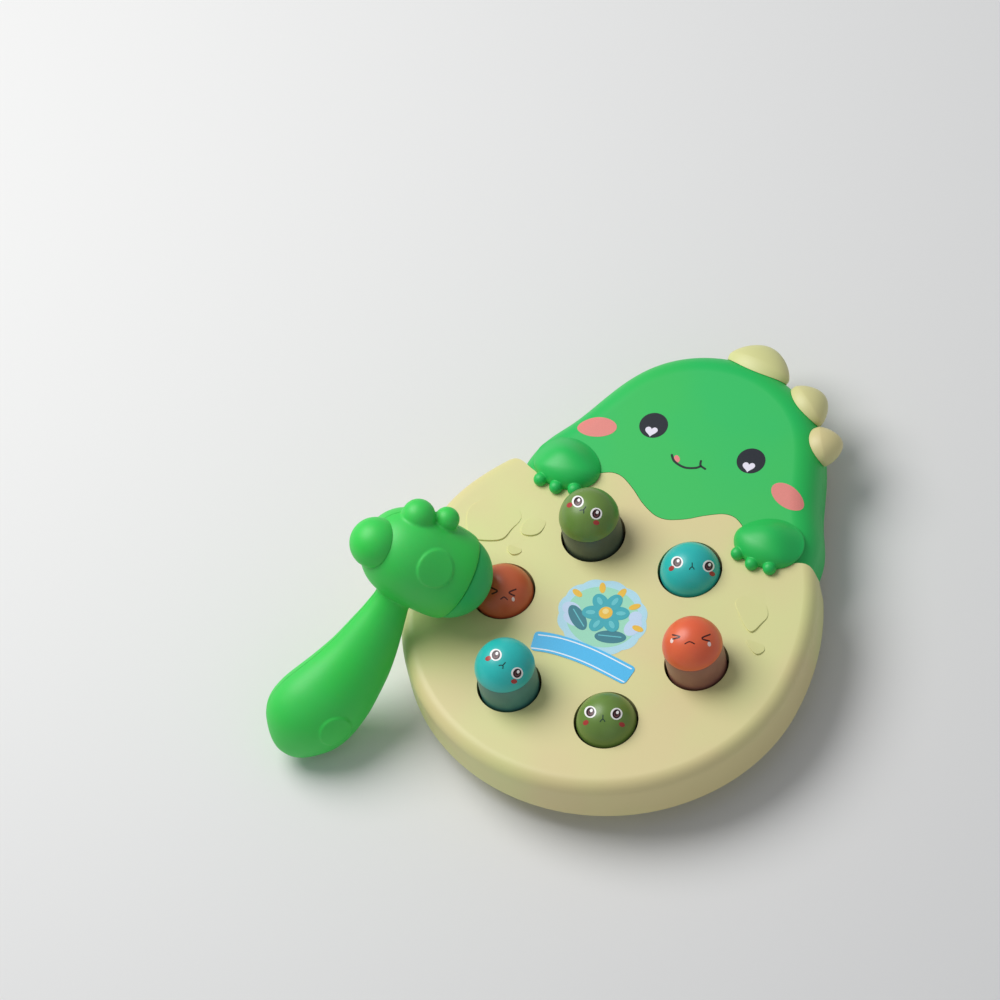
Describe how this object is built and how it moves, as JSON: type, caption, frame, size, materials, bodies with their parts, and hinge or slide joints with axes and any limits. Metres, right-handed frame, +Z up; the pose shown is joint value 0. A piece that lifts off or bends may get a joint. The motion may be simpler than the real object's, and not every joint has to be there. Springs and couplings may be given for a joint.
{
  "type": "mole pounding game",
  "caption": "Egg-shaped mole pounding game with a hatching dinosaur, pop-up moles linked in pairs by rockers, and a toy hammer leaning on it.",
  "frame": {"origin": "middle of the ring of moles, on the flat underside of the base plate, which is the plane that the game stands on", "axes": "+Z up, out of the board's top; +Y towards the dinosaur's head; +X to the right for a player who faces the dinosaur"},
  "size_m": [0.258, 0.3166, 0.1177],
  "materials": {
    "cream_shell": "satin injection-moulded ABS",
    "green_shell": "satin injection-moulded ABS",
    "green_paw": "satin injection-moulded ABS",
    "base_plastic": "fine-grained injection-moulded ABS",
    "foam_pad": "matt EVA foam",
    "zinc_screw": "zinc plated",
    "pin_steel": "drawn bright steel",
    "acetal": "white acetal",
    "hammer_plastic": "satin injection-moulded ABS",
    "hammer_rubber": "soft matt rubber",
    "olive_cap": "half-gloss moulded cap",
    "olive_sleeve": "satin moulded sleeve",
    "teal_cap": "half-gloss moulded cap",
    "teal_sleeve": "satin moulded sleeve",
    "orange_cap": "half-gloss moulded cap",
    "orange_sleeve": "satin moulded sleeve",
    "rust_cap": "half-gloss moulded cap",
    "rust_sleeve": "satin moulded sleeve"
  },
  "bodies": {
    "board": {"egg_shell": "cream_shell", "dino_shell": "green_shell", "base_plate": "base_plastic", "anti_slip_pad_1": "foam_pad", "anti_slip_pad_2": "foam_pad", "anti_slip_pad_3": "foam_pad", "anti_slip_pad_4": "foam_pad", "base_screw_1": "zinc_screw", "base_screw_2": "zinc_screw", "base_screw_3": "zinc_screw", "base_screw_4": "zinc_screw", "base_screw_5": "zinc_screw", "base_screw_6": "zinc_screw", "base_screw_7": "zinc_screw", "paw_left": "green_paw", "paw_right": "green_paw", "back_fin_1": "cream_shell", "back_fin_2": "cream_shell", "back_fin_3": "cream_shell", "rocker_pin_1": "pin_steel", "rocker_pin_2": "pin_steel", "rocker_pin_3": "pin_steel"},
    "mole_1": {"mole_cap_1": "olive_cap", "mole_plunger_1": "olive_sleeve"},
    "mole_2": {"mole_cap_2": "teal_cap", "mole_plunger_2": "teal_sleeve"},
    "mole_3": {"mole_cap_3": "orange_cap", "mole_plunger_3": "orange_sleeve"},
    "mole_4": {"mole_cap_4": "olive_cap", "mole_plunger_4": "olive_sleeve"},
    "mole_5": {"mole_cap_5": "teal_cap", "mole_plunger_5": "teal_sleeve"},
    "mole_6": {"mole_cap_6": "rust_cap", "mole_plunger_6": "rust_sleeve"},
    "rocker_1": {"rocker_1": "acetal"},
    "rocker_2": {"rocker_2": "acetal"},
    "rocker_3": {"rocker_3": "acetal"},
    "hammer": {"hammer_front_half": "hammer_plastic", "hammer_back_half": "hammer_plastic", "hammer_face_pad": "hammer_rubber", "hammer_rear_knob": "hammer_plastic", "hammer_screw_1": "zinc_screw", "hammer_screw_2": "zinc_screw", "hammer_screw_3": "zinc_screw"}
  },
  "joints": [
    {"name": "mole_1_slide", "type": "slide", "parent": "board", "child": "mole_1", "axis": [0, 0, 1], "range_m": [-0.02, 0]},
    {"name": "mole_2_slide", "type": "slide", "parent": "board", "child": "mole_2", "axis": [0, 0, 1], "range_m": [0, 0.02]},
    {"name": "mole_3_slide", "type": "slide", "parent": "board", "child": "mole_3", "axis": [0, 0, 1], "range_m": [-0.02, 0]},
    {"name": "mole_4_slide", "type": "slide", "parent": "board", "child": "mole_4", "axis": [0, 0, 1], "range_m": [0, 0.02]},
    {"name": "mole_5_slide", "type": "slide", "parent": "board", "child": "mole_5", "axis": [0, 0, 1], "range_m": [-0.02, 0]},
    {"name": "mole_6_slide", "type": "slide", "parent": "board", "child": "mole_6", "axis": [0, 0, 1], "range_m": [0, 0.02]},
    {"name": "rocker_1_pivot", "type": "hinge", "parent": "board", "child": "rocker_1", "pos_m": [0, 0.05023, 0.0165], "axis": [0, 1, 0], "range_deg": [-40.4, 0]},
    {"name": "rocker_2_pivot", "type": "hinge", "parent": "board", "child": "rocker_2", "pos_m": [0.0435, -0.02511, 0.0165], "axis": [0.866, -0.5, 0], "range_deg": [-40.4, 0]},
    {"name": "rocker_3_pivot", "type": "hinge", "parent": "board", "child": "rocker_3", "pos_m": [-0.0435, -0.02511, 0.0165], "axis": [-0.866, -0.5, 0], "range_deg": [-40.4, 0]},
    {"name": "hammer_lift", "type": "slide", "parent": "mole_6", "child": "hammer", "axis": [0, 0, 1], "range_m": [0, 0.1]}
  ],
  "couplings": [
    {"joint": "mole_2_slide", "follows": "mole_1_slide", "ratio": -1},
    {"joint": "rocker_1_pivot", "follows": "mole_1_slide", "rad_per_m": 35.206},
    {"joint": "mole_4_slide", "follows": "mole_3_slide", "ratio": -1},
    {"joint": "rocker_2_pivot", "follows": "mole_3_slide", "rad_per_m": 35.206},
    {"joint": "mole_5_slide", "follows": "mole_6_slide", "ratio": -1},
    {"joint": "rocker_3_pivot", "follows": "mole_6_slide", "rad_per_m": -35.206}
  ]
}
